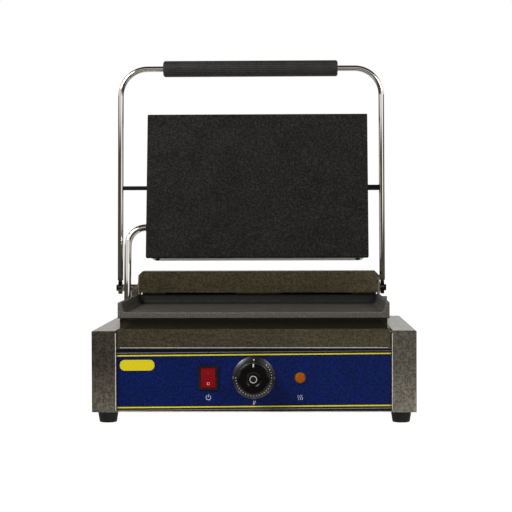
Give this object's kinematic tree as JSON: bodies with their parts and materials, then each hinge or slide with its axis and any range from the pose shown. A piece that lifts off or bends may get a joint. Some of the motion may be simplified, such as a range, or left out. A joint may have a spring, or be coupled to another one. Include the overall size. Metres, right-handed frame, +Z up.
{
  "type": "contact grill",
  "caption": "Countertop contact grill: low steel body with front controls and a drip tray, flat cast plate, and an upper plate that swivels in a hinged tubular handle.",
  "frame": {"origin": "on the table, under the middle of the open grill", "axes": "+X to the user's right, +Y to the rear, +Z up"},
  "size_m": [0.414, 0.3661, 0.4904],
  "materials": {
    "wing_steel": "satin stainless sheet",
    "panel_steel": "brushed stainless sheet",
    "tray_steel": "bright stainless sheet",
    "pan_steel": "zinc coated sheet",
    "overlay_film": "printed blue film",
    "label_film": "bare yellow film",
    "plate_iron": "seasoned cast iron",
    "box_steel": "bright stainless sheet",
    "cover_steel": "satin stainless sheet",
    "bracket_steel": "plated sheet",
    "screw_steel": "zinc plated",
    "dark_screw": "black coated",
    "element_steel": "heat-tinted tube",
    "clamp_steel": "aluminised sheet",
    "mineral_wool": "mineral fibre mat",
    "bush_bronze": "sintered bronze",
    "spring_steel": "oiled spring wire",
    "shaft_steel": "turned",
    "rod_chrome": "polished plated tube",
    "grip_plastic": "fluted thermoset",
    "foot_rubber": "matt rubber",
    "knob_plastic": "moulded thermoset",
    "cap_metal": "spun disc",
    "thermostat_metal": "plated",
    "copper_brass": "drawn",
    "switch_plastic": "moulded",
    "rocker_plastic": "translucent red",
    "lamp_chrome": "plated ring",
    "lamp_amber": "translucent amber",
    "block_ceramic": "moulded",
    "lead_sleeve": "silicone sleeve",
    "gland_plastic": "moulded",
    "gland_metal": "nickel plated",
    "conduit_steel": "polished flexible tube"
  },
  "bodies": {
    "base": {"base_pan": "pan_steel", "left_wing": "wing_steel", "right_wing": "wing_steel", "front_panel": "panel_steel", "panel_overlay": "overlay_film", "label_plate": "label_film", "rear_panel": "panel_steel", "rear_screws": "screw_steel", "tray_shelf": "panel_steel", "tray_runners": "panel_steel", "body_deck": "panel_steel", "plate_skirt": "panel_steel", "drip_apron": "panel_steel", "lower_plate": "plate_iron", "lower_plate_screws": "screw_steel", "lower_element": "element_steel", "lower_element_clamp": "clamp_steel", "lower_insulation": "mineral_wool", "hinge_box": "box_steel", "left_hinge_bracket": "bracket_steel", "right_hinge_bracket": "bracket_steel", "bracket_fasteners": "screw_steel", "hinge_bushes": "bush_bronze", "hinge_springs": "spring_steel", "rubber_feet": "foot_rubber", "foot_screws": "screw_steel", "thermostat_body": "thermostat_metal", "thermostat_scale_ring": "knob_plastic", "thermostat_capillary": "copper_brass", "switch_housing": "switch_plastic", "lamp_bezel": "lamp_chrome", "lamp_lens": "lamp_amber", "lamp_body": "switch_plastic", "terminal_block": "block_ceramic", "leads": "lead_sleeve", "cable_gland": "gland_plastic", "conduit_gland": "gland_metal", "conduit": "conduit_steel"},
    "handle_frame": {"handle_rod": "rod_chrome", "handle_grip": "grip_plastic", "hinge_shaft": "shaft_steel", "arm_screws": "screw_steel", "spring_collars": "spring_steel", "swivel_pins": "shaft_steel"},
    "upper_lid": {"upper_plate": "plate_iron", "upper_cover": "cover_steel", "upper_element": "element_steel", "upper_element_clamp": "clamp_steel", "upper_insulation": "mineral_wool", "cover_screws": "dark_screw", "swivel_bushes": "bush_bronze", "lid_conduit_fitting": "gland_metal"},
    "drip_tray": {"drip_tray": "tray_steel"},
    "thermostat_knob": {"thermostat_knob": "knob_plastic", "knob_cap": "cap_metal", "thermostat_shaft": "copper_brass"},
    "rocker": {"rocker": "rocker_plastic"}
  },
  "joints": [
    {"name": "lid_hinge", "type": "hinge", "parent": "base", "child": "handle_frame", "pos_m": [0, 0.13479, 0.16], "axis": [1, 0, 0], "range_deg": [0, 91.3], "stiffness_Nm_per_rad": 4.5, "springref_deg": -11.46, "deforming": ["hinge_springs", "conduit"]},
    {"name": "plate_swivel", "type": "hinge", "parent": "handle_frame", "child": "upper_lid", "pos_m": [-0.0015, 0.14491, 0.30465], "axis": [1, 0, 0], "range_deg": [0, 9.7], "deforming": ["conduit"]},
    {"name": "tray_slide", "type": "slide", "parent": "base", "child": "drip_tray", "axis": [0, -1, 0], "range_m": [0, 0.165]},
    {"name": "thermostat_turn", "type": "hinge", "parent": "base", "child": "thermostat_knob", "pos_m": [0, -0.16121, 0.0586], "axis": [0, 1, 0], "range_deg": [0, 270]},
    {"name": "rocker_tilt", "type": "hinge", "parent": "base", "child": "rocker", "pos_m": [-0.0575, -0.15861, 0.0586], "axis": [-1, 0, 0], "range_deg": [0, 20]}
  ],
  "couplings": [
    {"joint": "plate_swivel", "follows": "lid_hinge", "ratio": 0.1062}
  ]
}
